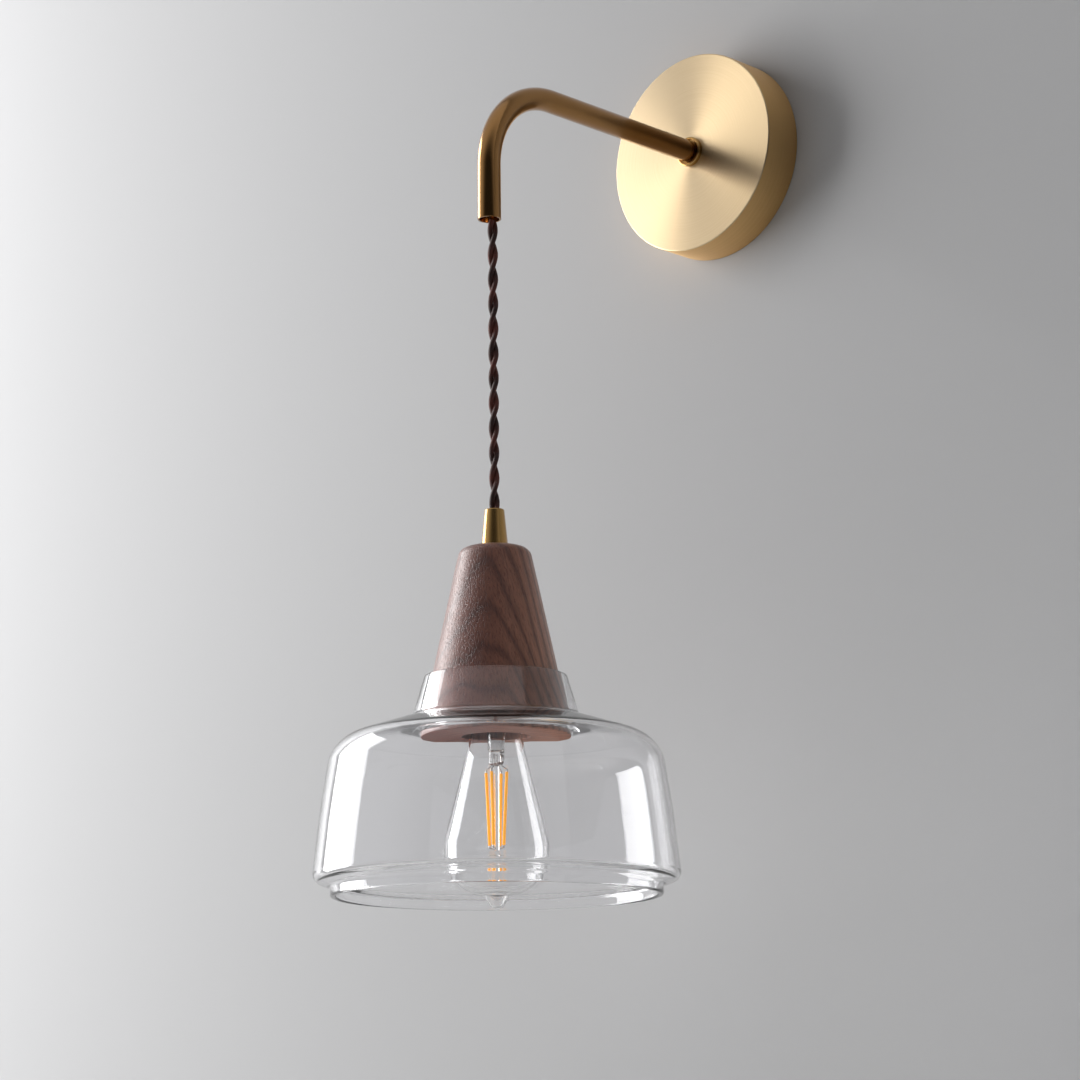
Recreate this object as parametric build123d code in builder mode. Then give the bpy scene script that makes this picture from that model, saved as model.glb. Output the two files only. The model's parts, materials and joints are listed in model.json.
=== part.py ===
from build123d import *

import os
from math import cos, radians, sin, sqrt

# Hanging pendant wall sconce, in millimetres.
# The origin is the middle of the wall plate's back, on the wall. +Y goes into
# the wall, +Z is up, and the arm reaches out towards -Y.

# ---- clearances -----------------------------------------------------------
moving_gap = 0.3  # between pieces that move on each other
thread_gap = 0.1  # between a screw thread, drawn plain, and its hole
fit_gap = 0.1  # between pieces that are pushed or laid together

# ---- wall plate and its bracket -------------------------------------------
plate_diameter = 125
plate_depth = 27
plate_wall = 1.5
plate_edge_radius = 0.6
bracket_thickness = 2
bracket_width = 20
bracket_disc_diameter = 38
bracket_bend_radius = 2
bracket_tab_reach = 17  # from the wall to the tabs' ends
bracket_tab_gap = 0.5  # between the tabs' corners and the plate's rim
slot_spacing = 78
slot_length = 12
slot_width = 5
wire_hole_diameter = 20
fixing_depth = 11  # from the wall to the plate screw and the locating pin
plate_screw_diameter = 4
plate_screw_head_diameter = 7
plate_screw_head_height = 2.4
plate_screw_length = 8
plate_screw_slot_width = 1
locating_pin_diameter = 4
locating_pin_length = 5

# ---- arm ------------------------------------------------------------------
tube_diameter = 13.5
tube_wall = 1
arm_reach = 205  # from the wall to the axis of the tube's hanging end
arm_drop = 84.5  # from the axis of the arm down to the tube's mouth
arm_bend_radius = 52
collar_diameter = 18.5
collar_thickness = 3
collar_edge_radius = 0.8
bush_length = 12

# ---- hollow threaded rod, its nuts and washers ----------------------------
rod_diameter = 10
rod_bore = 7
rod_nut_width = 14  # across the flats
rod_nut_height = 3
washer_thickness = 0.8
washer_diameter = 18
arm_rod_tail = 10  # what stands out behind the plate's face wall

# ---- cord -----------------------------------------------------------------
cord_diameter = 5.9
core_diameter = 2
cord_drop = 169  # free length, from the tube's mouth to the ferrule
grip_diameter = 14
grip_length = 10.5
grip_edge_radius = 0.5
grip_screw_diameter = 3
grip_screw_head_diameter = 4.4
grip_screw_head_height = 1.4

# ---- terminal block -------------------------------------------------------
block_poles = 3
block_pitch = 10
block_depth = 10
block_height = 16
block_edge_radius = 1
block_foot = 13  # from the arm's axis up to the block's underside
insert_diameter = 5
insert_bore = 2.7
insert_recess = 1  # from each end of the block to the insert's end
clamp_screw_diameter = 2.5
clamp_screw_spacing = 7
block_screw_diameter = 2.5
block_screw_head_diameter = 4
block_screw_head_height = 1.6
lug_diameter = 16
lug_thickness = 0.8
lug_reach = 20  # from the arm's axis to the end of the lug's barrel
lug_barrel_diameter = 3.6
lug_barrel_length = 6
lug_barrel_floor = 1  # what is left whole at the barrel's inner end
lug_tail_width = 5
lug_tail_overlap = 2  # what the tail reaches in under the barrel
cord_rise_radius = 400  # the gentle turn where the cord drops to the bore's lower side
core_bend_radius = 3
earth_bend_radius = 6
earth_bow = 10  # how far the earth lead swings out beyond the lug and below the arm's axis

# ---- ferrule --------------------------------------------------------------
ferrule_height = 22
ferrule_top_diameter = 11
ferrule_bottom_diameter = 15
ferrule_foot_diameter = 15.8
ferrule_foot_height = 1.2
ferrule_neck_length = 8
ferrule_edge_radius = 0.6
ferrule_grip_height = 4

# ---- wooden cone ----------------------------------------------------------
cone_height = 104
cone_top_diameter = 39.2  # where the side would meet the top
cone_base_diameter = 84
cone_shoulder_radius = 6
cone_base_radius = 0.8
cone_crown = 16  # wood above the bore
cone_bore_diameter = 38

# ---- screw lamp holder ----------------------------------------------------
holder_diameter = 36.4
holder_wall = 1.8
holder_neck_diameter = 16
holder_neck_height = 6
holder_shoulder_height = 6
holder_cap_height = 29
holder_lip = 1
holder_lip_height = 2
holder_length = 64  # from the neck's top to the mouth
holder_edge_radius = 1
holder_shell_gap = 1.2
holder_terminal_spacing = 16
holder_drop = 0.5  # from the rod's nut down to the holder
holder_joint_height = 8  # what the body reaches up inside the cap
insert_height = 13
insert_floor = 31  # from the holder's top down to the insert's underside
shell_wall = 0.4
shell_height = 24
contact_width = 6
contact_thickness = 0.5
contact_reach = 9
contact_drop = 3.6
holder_terminal_diameter = 4
holder_terminal_height = 3

# ---- glass shade: radii and drops along its outline -----------------------
shade_glass = 3
shade_rim_glass = 2.6
shade_rim_clearance = 1.7  # between the cone and the inside of the rim
shade_crease_overhang = 6.1  # from the cone out to the crease
shade_crease_height = 9  # above the cone's underside
shade_neck_height = 22.5  # from the crease up to the rim
shade_crease_radius = 3
shade_shoulder_diameter = 181.2
shade_shoulder_drop = 13.8
shade_shoulder_radius = 19.8
shade_foot_diameter = 201.6
shade_wall_height = 76
shade_wall_bulge = 0.9
shade_bulge_radius = 500
shade_foot_radius = 5
shade_lip_diameter = 181.4
shade_step_drop = 3.6
shade_step_radius = 2
shade_lip_height = 5.4
shade_edge_radius = 1.2
seat_top_height = 13.5  # of the ring that rests on the cone, above the cone's underside
seat_bottom_height = 2.5
seat_width = 9.5
seat_top_radius = 40
seat_bottom_radius = 2
seat_flare_radius = 12

# ---- bulb -----------------------------------------------------------------
bulb_glass = 0.9
bulb_cap_diameter = 26.2
bulb_cap_wall = 0.3
bulb_cap_height = 20
bulb_insulator_height = 4.5
bulb_insulator_top_diameter = 10
bulb_cap_chamfer = 0.7
bulb_contact_diameter = 9
bulb_contact_height = 1.8
bulb_contact_gap = 0.3
bulb_neck_diameter = 26.8
bulb_neck_root_diameter = 24.4
bulb_neck_length = 21.5  # of straight neck below the cap
bulb_neck_insertion = 6
bulb_length = 138.5  # from the contact to the dome
bulb_corner_diameter = 61  # where the side would meet the dome
bulb_corner_height = 23  # above the dome's lowest ring
bulb_dome_diameter = 42  # where the dome turns towards its flat middle
bulb_dome_rise = 3.2
bulb_flare_radius = 90
bulb_corner_radius = 28
bulb_dome_radius = 21
bulb_tip_diameter = 14
bulb_tip_length = 6
bulb_tip_radius = 1.6
stem_diameter = 11
stem_length = 46
stem_flare_height = 12
stem_end_radius = 2
stem_press_length = 7  # solid glass round the wires, at the stem's end
stem_rod_diameter = 2.7
stem_rod_length = 47
filament_count = 4
filament_length = 40
filament_diameter = 1.7
filament_top_circle = 12.5  # diameter of the circle that the upper ends stand on
filament_bottom_circle = 8.5
filament_drop = 4  # from the stem's end down to the filaments
filament_turn = 20  # degrees, of the first filament from +X
wire_diameter = 0.7
driver_thickness = 1.6

# ---- places worked out from the sizes -------------------------------------
plate_radius = plate_diameter / 2
plate_inner_radius = plate_radius - plate_wall
plate_back = plate_depth - plate_wall  # the inner side of the plate's face, from the wall
tab_height = sqrt(plate_inner_radius**2 - (bracket_width / 2) ** 2) - bracket_tab_gap
tube_bore = tube_diameter - 2 * tube_wall
arm_foot = plate_depth + collar_thickness  # where the tube starts, from the wall
cord_shift = (tube_bore - cord_diameter) / 2 - 2 * fit_gap  # the cord hangs against the bore
pendant_y = -arm_reach + cord_shift
mouth_z = -arm_drop
ferrule_z = mouth_z - cord_drop
cone_top_z = ferrule_z - ferrule_height
cone_base_z = cone_top_z - cone_height
cone_ceiling_z = cone_top_z - cone_crown
cone_taper = (cone_base_diameter - cone_top_diameter) / 2 / cone_height
holder_z = cone_ceiling_z - washer_thickness - rod_nut_height - holder_drop
insert_z = holder_z - insert_floor
shell_radius = bulb_cap_diameter / 2 + moving_gap
contact_z = insert_z - contact_drop - contact_thickness
bulb_z = contact_z - bulb_contact_gap
bulb_cap_z = bulb_z - bulb_contact_height - bulb_insulator_height
bulb_cap_end_z = bulb_cap_z - bulb_cap_height
dome_z = bulb_z - bulb_length

pendant_plane = Plane(origin=(0, pendant_y, 0), x_dir=(1, 0, 0), z_dir=(0, -1, 0))
pendant_axis = Axis((0, pendant_y, 0), (0, 0, 1))


def level(z):
    # A level plane on the pendant's axis.
    return Plane(origin=(0, pendant_y, z))


def cone_radius(z):
    # The cone's outer radius at a height.
    return cone_base_diameter / 2 - (z - cone_base_z) * cone_taper


def inset(line, wall):
    # The corners of a line that keeps a wall's thickness on the inner side of another.
    points = [Vector(*point) for point in line]
    normals = [Vector(b.Y - a.Y, a.X - b.X).normalized() for a, b in zip(points, points[1:])]
    corners = [
        corner + (n + m) * (wall / (1 + n.dot(m)))
        for corner, n, m in zip(points[1:-1], normals, normals[1:])
    ]
    return [points[0] + normals[0] * wall] + corners + [points[-1] + normals[-1] * wall]


finished = []


def finish(piece, name):
    # Names a finished piece and keeps it for writing.
    piece.part.label = name
    finished.append(piece.part)


# ---- wall plate: a turned cup, open towards the wall ----------------------
with BuildPart() as wall_plate:
    with BuildSketch(Plane.XZ):
        Circle(plate_radius)
    extrude(amount=plate_depth)
    fillet(wall_plate.faces().sort_by(Axis.Y)[0].edges(), plate_edge_radius)
    offset(amount=-plate_wall, openings=wall_plate.faces().sort_by(Axis.Y)[-1])
    with BuildSketch(Plane.XZ.offset(plate_back)):
        Circle(rod_diameter / 2 + fit_gap)
    extrude(amount=plate_wall, mode=Mode.SUBTRACT)
    with BuildSketch(Plane.XY.offset(tab_height)):
        with Locations((0, -fixing_depth)):
            Circle(plate_screw_diameter / 2 + fit_gap)
    extrude(until=Until.LAST, mode=Mode.SUBTRACT)
finish(wall_plate, "wall_plate")

# ---- locating pin, soldered inside the rim at six o'clock -----------------
pin_foot = sqrt(plate_inner_radius**2 - (locating_pin_diameter / 2) ** 2)
with BuildPart() as locating_pin:
    with BuildSketch(Plane.XY.offset(-pin_foot)):
        with Locations((0, -fixing_depth)):
            Circle(locating_pin_diameter / 2)
    extrude(amount=locating_pin_length)
    chamfer(locating_pin.edges().sort_by(Axis.Z)[-1], locating_pin_diameter / 8)
finish(locating_pin, "locating_pin")

# ---- bracket: a bent strip with a round middle ----------------------------
with BuildPart() as mounting_bracket:
    with BuildSketch(Plane.YZ):
        with Locations((-bracket_tab_reach / 2, 0)):
            Rectangle(bracket_tab_reach, 2 * tab_height)
        with Locations((-bracket_thickness - bracket_tab_reach / 2, 0)):
            Rectangle(bracket_tab_reach, 2 * (tab_height - bracket_thickness), mode=Mode.SUBTRACT)
    extrude(amount=bracket_width / 2, both=True)
    cross_edges = mounting_bracket.edges().filter_by(Axis.X).group_by(Axis.Y)
    outer_corners = cross_edges[-1]
    inner_corners = cross_edges[-2]
    fillet(outer_corners, bracket_bend_radius + bracket_thickness)
    fillet(inner_corners, bracket_bend_radius)
    with BuildSketch(Plane.XZ):
        Circle(bracket_disc_diameter / 2)
    extrude(amount=bracket_thickness)
    with BuildSketch(Plane.XZ):
        Circle(wire_hole_diameter / 2)
        with GridLocations(0, slot_spacing, 1, 2):
            SlotOverall(slot_length, slot_width, rotation=90)
    extrude(amount=bracket_thickness, mode=Mode.SUBTRACT)
    with BuildSketch(Plane.XZ):
        with Locations((block_pitch / 2, block_foot + block_height / 2)):
            Circle(block_screw_diameter / 2 + thread_gap)
    extrude(amount=bracket_thickness, mode=Mode.SUBTRACT)
    with BuildSketch(Plane.XY.offset(-tab_height)):
        with Locations((0, -fixing_depth)):
            Circle(locating_pin_diameter / 2 + fit_gap)
    extrude(amount=bracket_thickness, mode=Mode.SUBTRACT)
    with BuildSketch(Plane.XY.offset(tab_height)):
        with Locations((0, -fixing_depth)):
            Circle(plate_screw_diameter / 2 + thread_gap)
    extrude(amount=-bracket_thickness, mode=Mode.SUBTRACT)
finish(mounting_bracket, "mounting_bracket")

# ---- plate screw, through the rim into the upper tab ----------------------
with BuildPart() as plate_screw:
    with BuildSketch(Plane.XY.offset(plate_radius)):
        with Locations((0, -fixing_depth)):
            Circle(plate_screw_head_diameter / 2)
    extrude(amount=plate_screw_head_height)
    fillet(plate_screw.edges().sort_by(Axis.Z)[-1], plate_screw_head_height / 3)
    with BuildSketch(Plane.XY.offset(plate_radius)):
        with Locations((0, -fixing_depth)):
            Circle(plate_screw_diameter / 2)
    extrude(amount=-plate_screw_length)
    with BuildSketch(Plane.XY.offset(plate_radius + plate_screw_head_height)):
        with Locations((0, -fixing_depth)):
            Rectangle(plate_screw_head_diameter, plate_screw_slot_width)
    extrude(amount=-plate_screw_head_height / 2, mode=Mode.SUBTRACT)
finish(plate_screw, "plate_screw")

# ---- collar between plate and arm -----------------------------------------
with BuildPart() as arm_collar:
    with BuildSketch(Plane.XZ.offset(plate_depth)):
        Circle(collar_diameter / 2)
        Circle(rod_diameter / 2 + fit_gap, mode=Mode.SUBTRACT)
    extrude(amount=collar_thickness)
    collar_rims = arm_collar.edges().filter_by(GeomType.CIRCLE).group_by(SortBy.RADIUS)[-1]
    fillet(collar_rims, collar_edge_radius)
finish(arm_collar, "arm_collar")

# ---- arm: one bent tube, cut off square at its mouth ----------------------
with BuildPart() as arm_tube:
    with BuildLine(Plane.YZ):
        FilletPolyline(
            (-arm_foot, 0), (-arm_reach, 0), (-arm_reach, -arm_drop), radius=arm_bend_radius
        )
    with BuildSketch(Plane.XZ.offset(arm_foot)):
        Circle(tube_diameter / 2)
        Circle(tube_bore / 2, mode=Mode.SUBTRACT)
    sweep()
finish(arm_tube, "arm_tube")

# ---- bush brazed into the tube's foot -------------------------------------
with BuildPart() as arm_bush:
    with BuildSketch(Plane.XZ.offset(arm_foot)):
        Circle(tube_bore / 2 - fit_gap)
        Circle(rod_diameter / 2 + thread_gap, mode=Mode.SUBTRACT)
    extrude(amount=bush_length)
finish(arm_bush, "arm_bush")

# ---- hollow threaded rod that clamps arm, collar and plate ----------------
arm_rod_end = plate_back - arm_rod_tail
with BuildPart() as arm_rod:
    with BuildSketch(Plane.XZ.offset(arm_rod_end)):
        Circle(rod_diameter / 2)
        Circle(rod_bore / 2, mode=Mode.SUBTRACT)
    extrude(amount=arm_foot + bush_length - arm_rod_end)
finish(arm_rod, "arm_rod")

with BuildPart() as arm_washer:
    with BuildSketch(Plane.XZ.offset(plate_back - washer_thickness)):
        Circle(washer_diameter / 2)
        Circle(rod_diameter / 2 + fit_gap, mode=Mode.SUBTRACT)
    extrude(amount=washer_thickness)
finish(arm_washer, "arm_washer")

# ---- earth lug: a ring with a tail and a crimped barrel -------------------
lug_back = plate_back - washer_thickness - lug_thickness
lug_plane = Plane.XZ.offset(lug_back)
barrel_start = lug_reach - lug_barrel_length
barrel_depth = lug_back - lug_barrel_diameter / 2 + lug_thickness
with BuildPart() as earth_lug:
    with BuildSketch(lug_plane):
        Circle(lug_diameter / 2)
        with Locations(((barrel_start + lug_tail_overlap) / 2, 0)):
            Rectangle(barrel_start + lug_tail_overlap, lug_tail_width)
        Circle(rod_diameter / 2 + fit_gap, mode=Mode.SUBTRACT)
    extrude(amount=lug_thickness)
    with BuildSketch(Plane.YZ.offset(barrel_start)):
        with Locations((-barrel_depth, 0)):
            Circle(lug_barrel_diameter / 2)
    extrude(amount=lug_barrel_length)
    with BuildSketch(Plane.YZ.offset(lug_reach)):
        with Locations((-barrel_depth, 0)):
            Circle(core_diameter / 2 + fit_gap)
    extrude(amount=lug_barrel_floor - lug_barrel_length, mode=Mode.SUBTRACT)
finish(earth_lug, "earth_lug")

arm_nut_back = lug_back - rod_nut_height
with BuildPart() as arm_nut:
    with BuildSketch(Plane.XZ.offset(arm_nut_back)):
        RegularPolygon(rod_nut_width / 2, 6, major_radius=False)
        Circle(rod_diameter / 2 + thread_gap, mode=Mode.SUBTRACT)
    extrude(amount=rod_nut_height)
finish(arm_nut, "arm_nut")

# ---- cord grip on the rod's end, with its clamping screw ------------------
grip_front = arm_nut_back - fit_gap
grip_back = grip_front - grip_length
grip_screw_y = -(arm_rod_end + grip_back) / 2
with BuildPart() as cord_grip:
    with BuildSketch(Plane.XZ.offset(grip_back)):
        Circle(grip_diameter / 2)
        Circle(cord_diameter / 2 + fit_gap, mode=Mode.SUBTRACT)
    extrude(amount=grip_length)
    grip_rims = cord_grip.edges().filter_by(GeomType.CIRCLE).group_by(SortBy.RADIUS)[-1]
    fillet(grip_rims, grip_edge_radius)
    with BuildSketch(Plane.XZ.offset(arm_rod_end - fit_gap)):
        Circle(rod_diameter / 2 + thread_gap)
    extrude(amount=grip_front - arm_rod_end + fit_gap, mode=Mode.SUBTRACT)
    with BuildSketch(Plane.XY):
        with Locations((0, grip_screw_y)):
            Circle(grip_screw_diameter / 2 + thread_gap)
    extrude(amount=-grip_diameter, mode=Mode.SUBTRACT)
finish(cord_grip, "cord_grip")

with BuildPart() as cord_grip_screw:
    with BuildSketch(Plane.XY.offset(-cord_diameter / 2 - fit_gap)):
        with Locations((0, grip_screw_y)):
            Circle(grip_screw_diameter / 2)
    extrude(amount=-(grip_diameter - cord_diameter) / 2 - fit_gap)
    with BuildSketch(Plane.XY.offset(-grip_diameter / 2 - fit_gap)):
        with Locations((0, grip_screw_y)):
            Circle(grip_screw_head_diameter / 2)
    extrude(amount=-grip_screw_head_height)
finish(cord_grip_screw, "cord_grip_screw")

# ---- terminal block, screwed to the bracket -------------------------------
block_width = block_poles * block_pitch
block_middle = block_foot + block_height / 2
block_front = bracket_thickness + block_depth
entry_depth = bracket_thickness + block_depth / 2
pole_places = GridLocations(block_pitch, 0, block_poles, 1)
clamp_places = [
    (pole.position.X, block_middle + side * clamp_screw_spacing / 2)
    for pole in pole_places
    for side in (-1, 1)
]
with BuildPart() as terminal_block:
    with BuildSketch(Plane.XZ.offset(bracket_thickness)):
        with Locations((0, block_middle)):
            Rectangle(block_width, block_height)
    extrude(amount=block_depth)
    fillet(terminal_block.edges().filter_by(Axis.Y), block_edge_radius)
    with BuildSketch(Plane.XY.offset(block_foot)):
        with Locations((0, -entry_depth)):
            with GridLocations(block_pitch, 0, block_poles, 1):
                Circle(insert_diameter / 2 + fit_gap)
    extrude(amount=block_height, mode=Mode.SUBTRACT)
    with BuildSketch(Plane.XZ.offset(entry_depth)):
        with Locations(*clamp_places):
            Circle(clamp_screw_diameter / 2 + 2 * fit_gap)
    extrude(amount=block_depth, mode=Mode.SUBTRACT)
    with BuildSketch(Plane.XZ.offset(bracket_thickness)):
        with Locations((block_pitch / 2, block_middle)):
            Circle(block_screw_diameter / 2 + fit_gap)
    extrude(amount=block_depth, mode=Mode.SUBTRACT)
finish(terminal_block, "terminal_block")

with BuildPart() as terminal_inserts:
    with BuildSketch(Plane.XY.offset(block_foot + insert_recess)):
        with Locations((0, -entry_depth)):
            with GridLocations(block_pitch, 0, block_poles, 1):
                Circle(insert_diameter / 2)
                Circle(insert_bore / 2, mode=Mode.SUBTRACT)
    extrude(amount=block_height - 2 * insert_recess)
    with BuildSketch(Plane.XZ.offset(entry_depth)):
        with Locations(*clamp_places):
            Circle(clamp_screw_diameter / 2 + thread_gap)
    extrude(amount=block_depth, mode=Mode.SUBTRACT)
finish(terminal_inserts, "terminal_inserts")

with BuildPart() as terminal_screws:
    with BuildSketch(Plane.XZ.offset(entry_depth + core_diameter / 2 + fit_gap)):
        with Locations(*clamp_places):
            Circle(clamp_screw_diameter / 2)
    extrude(amount=block_front - entry_depth - core_diameter / 2 - fit_gap)
finish(terminal_screws, "terminal_screws")

with BuildPart() as terminal_block_screw:
    with BuildSketch(Plane.XZ):
        with Locations((block_pitch / 2, block_middle)):
            Circle(block_screw_diameter / 2)
    extrude(amount=block_front)
    with BuildSketch(Plane.XZ.offset(block_front)):
        with Locations((block_pitch / 2, block_middle)):
            Circle(block_screw_head_diameter / 2)
    extrude(amount=block_screw_head_height)
finish(terminal_block_screw, "terminal_block_screw")

# ---- the cord inside the arm, from the grip to just above the mouth -------
cord_radius = cord_diameter / 2
with BuildPart() as arm_cord:
    with BuildLine(Plane.YZ):
        FilletPolyline(
            (-grip_back, 0),
            (-arm_foot - bush_length, 0),
            (pendant_y, -cord_shift),
            (pendant_y, mouth_z + cord_radius + moving_gap),
            radius=(cord_rise_radius, arm_bend_radius - cord_shift),
        )
    with BuildSketch(Plane.XZ.offset(grip_back)):
        Circle(cord_radius)
    sweep()
print("arm cord bends at", cord_rise_radius, "and", arm_bend_radius - cord_shift, "mm")
finish(arm_cord, "arm_cord")

# ---- the cord's two cores, from the grip into the block's first two poles --
core_part = (core_diameter + fit_gap) / 2  # from the cord's axis to a core's axis
core_end = block_foot + block_height / 4
with BuildPart() as plate_cores:
    for start, pole in ((-core_part, -block_pitch), (core_part, 0)):
        with BuildLine():
            FilletPolyline(
                (start, -grip_back, 0),
                (start, -entry_depth, 0),
                (pole, -entry_depth, block_foot / 2),
                (pole, -entry_depth, core_end),
                radius=core_bend_radius,
            )
        with BuildSketch(Plane.XZ.offset(grip_back)):
            with Locations((start, 0)):
                Circle(core_diameter / 2)
        sweep()
finish(plate_cores, "plate_cores")

# ---- earth lead, from the lug round to the block's third pole -------------
with BuildPart() as earth_lead:
    with BuildLine():
        FilletPolyline(
            (barrel_start + lug_barrel_floor, -barrel_depth, 0),
            (lug_reach + earth_bow, -barrel_depth, 0),
            (lug_reach + earth_bow, -entry_depth, -earth_bow),
            (block_pitch, -entry_depth, -earth_bow),
            (block_pitch, -entry_depth, core_end),
            radius=earth_bend_radius,
        )
    with BuildSketch(Plane.YZ.offset(barrel_start + lug_barrel_floor)):
        with Locations((-barrel_depth, 0)):
            Circle(core_diameter / 2)
    sweep()
finish(earth_lead, "earth_lead")

# ---- free cord: a round end in the mouth, and the straight stretch --------
with BuildPart() as cord_top:
    with BuildSketch(pendant_plane):
        with Locations((0, mouth_z)):
            Circle(cord_radius)
        with Locations((-cord_radius / 2, mouth_z)):
            Rectangle(cord_radius, cord_diameter, mode=Mode.SUBTRACT)
    revolve(axis=pendant_axis)
finish(cord_top, "cord_top")

cord_end_z = ferrule_z - ferrule_neck_length + moving_gap
with BuildPart() as pendant_cord:
    with BuildSketch(pendant_plane):
        with Locations((cord_radius / 2, (mouth_z + cord_end_z) / 2)):
            Rectangle(cord_radius, mouth_z - cord_end_z)
        with Locations((0, mouth_z)):
            Circle(cord_radius + moving_gap, mode=Mode.SUBTRACT)
    revolve(axis=pendant_axis)
finish(pendant_cord, "pendant_cord")

# ---- ferrule: the tapered brass cap on the wood ---------------------------
with BuildPart() as ferrule:
    with BuildSketch(pendant_plane):
        with BuildLine():
            Polyline(
                (cord_radius + moving_gap, ferrule_z),
                (ferrule_top_diameter / 2, ferrule_z),
                (ferrule_bottom_diameter / 2, cone_top_z + ferrule_foot_height),
                (ferrule_foot_diameter / 2, cone_top_z + ferrule_foot_height),
                (ferrule_foot_diameter / 2, cone_top_z),
                (rod_diameter / 2 + thread_gap, cone_top_z),
                (rod_diameter / 2 + thread_gap, ferrule_z - ferrule_neck_length),
                (cord_radius + moving_gap, ferrule_z - ferrule_neck_length),
                close=True,
            )
        make_face()
    revolve(axis=pendant_axis)
    fillet(ferrule.edges().group_by(Axis.Z)[-1].sort_by(SortBy.RADIUS)[-1], ferrule_edge_radius)
finish(ferrule, "ferrule")

with BuildPart() as ferrule_grip:
    with BuildSketch(level(ferrule_z - ferrule_neck_length)):
        Circle(rod_diameter / 2)
        Circle(cord_radius + fit_gap, mode=Mode.SUBTRACT)
    extrude(amount=-ferrule_grip_height)
finish(ferrule_grip, "ferrule_grip")

# ---- hollow rod through the wood, with its washer and nut -----------------
pendant_rod_z = ferrule_z - ferrule_neck_length - ferrule_grip_height
with BuildPart() as pendant_rod:
    with BuildSketch(level(pendant_rod_z)):
        Circle(rod_diameter / 2)
        Circle(rod_bore / 2, mode=Mode.SUBTRACT)
    extrude(amount=holder_z - holder_neck_height - pendant_rod_z)
finish(pendant_rod, "pendant_rod")

with BuildPart() as rod_washer:
    with BuildSketch(level(cone_ceiling_z)):
        Circle(washer_diameter / 2)
        Circle(rod_diameter / 2 + fit_gap, mode=Mode.SUBTRACT)
    extrude(amount=-washer_thickness)
finish(rod_washer, "rod_washer")

with BuildPart() as rod_nut:
    with BuildSketch(level(cone_ceiling_z - washer_thickness)):
        RegularPolygon(rod_nut_width / 2, 6, major_radius=False)
        Circle(rod_diameter / 2 + thread_gap, mode=Mode.SUBTRACT)
    extrude(amount=-rod_nut_height)
finish(rod_nut, "rod_nut")

# ---- turned cone, bored from below for the lamp holder --------------------
with BuildPart() as wood_cone:
    with BuildSketch(pendant_plane):
        with BuildLine():
            Polyline(
                (0, cone_top_z),
                (cone_top_diameter / 2, cone_top_z),
                (cone_base_diameter / 2, cone_base_z),
                (0, cone_base_z),
                close=True,
            )
        make_face()
    revolve(axis=pendant_axis)
    fillet(wood_cone.edges().group_by(Axis.Z)[-1], cone_shoulder_radius)
    fillet(wood_cone.edges().group_by(Axis.Z)[0], cone_base_radius)
    with BuildSketch(level(cone_base_z)):
        Circle(cone_bore_diameter / 2)
    extrude(amount=cone_height - cone_crown, mode=Mode.SUBTRACT)
    with BuildSketch(level(cone_ceiling_z)):
        Circle(rod_diameter / 2 + fit_gap)
    extrude(amount=cone_crown, mode=Mode.SUBTRACT)
finish(wood_cone, "wood_cone")

# ---- lamp holder ----------------------------------------------------------
holder_radius = holder_diameter / 2
holder_cap_end = holder_z - holder_cap_height
cap_outside = [
    (holder_neck_diameter / 2, holder_z - holder_neck_height),
    (holder_radius, holder_z - holder_neck_height - holder_shoulder_height),
    (holder_radius, holder_cap_end),
]
cap_inside = inset(cap_outside, holder_wall)
with BuildPart() as holder_cap:
    with BuildSketch(pendant_plane):
        with BuildLine():
            Polyline(
                (rod_diameter / 2 + thread_gap, holder_z),
                (holder_neck_diameter / 2, holder_z),
                *cap_outside,
                *reversed(cap_inside),
                (rod_diameter / 2 + thread_gap, cap_inside[0].Y),
                close=True,
            )
        make_face()
    revolve(axis=pendant_axis)
finish(holder_cap, "holder_cap")

body_inner_radius = shell_radius + shell_wall + holder_shell_gap
body_top = holder_cap_end + holder_joint_height
body_end = holder_z - holder_length
with BuildPart() as holder_body:
    with BuildSketch(level(body_end)):
        Circle(holder_radius)
    extrude(amount=holder_cap_end - fit_gap - body_end)
    fillet(holder_body.edges().group_by(Axis.Z)[0], holder_edge_radius)
    with BuildSketch(level(holder_cap_end - fit_gap)):
        Circle(holder_radius - holder_wall - thread_gap)
    extrude(amount=holder_joint_height + fit_gap)
    with BuildSketch(level(body_end + holder_lip_height)):
        Circle(body_inner_radius)
    extrude(amount=body_top - body_end, mode=Mode.SUBTRACT)
    with BuildSketch(level(body_end)):
        Circle(body_inner_radius - holder_lip)
    extrude(amount=holder_lip_height, mode=Mode.SUBTRACT)
finish(holder_body, "holder_body")

insert_top = insert_z + insert_height
with BuildPart() as holder_insert:
    with BuildSketch(level(insert_z)):
        Circle(body_inner_radius - fit_gap)
    extrude(amount=insert_height)
    chamfer(holder_insert.edges().group_by(Axis.Z)[-1], holder_wall / 2)
finish(holder_insert, "holder_insert")

with BuildPart() as holder_terminals:
    with BuildSketch(level(insert_top)):
        with GridLocations(holder_terminal_spacing, 0, 2, 1):
            Circle(holder_terminal_diameter / 2)
    extrude(amount=holder_terminal_height)
finish(holder_terminals, "holder_terminals")

with BuildPart() as holder_shell:
    with BuildSketch(level(insert_z)):
        Circle(shell_radius + shell_wall)
        Circle(shell_radius, mode=Mode.SUBTRACT)
    extrude(amount=-shell_height)
finish(holder_shell, "holder_shell")

contact_lift = contact_thickness / 2
with BuildPart() as holder_contact:
    with BuildSketch(pendant_plane):
        with BuildLine():
            Polyline(
                (contact_reach, insert_z - contact_lift),
                (contact_reach / 3, insert_z - contact_lift),
                (-contact_reach / 6, contact_z + contact_lift),
                (-contact_reach / 2, contact_z + contact_lift),
            )
        trace(line_width=contact_thickness)
    extrude(amount=contact_width / 2, both=True)
finish(holder_contact, "holder_contact")

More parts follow.
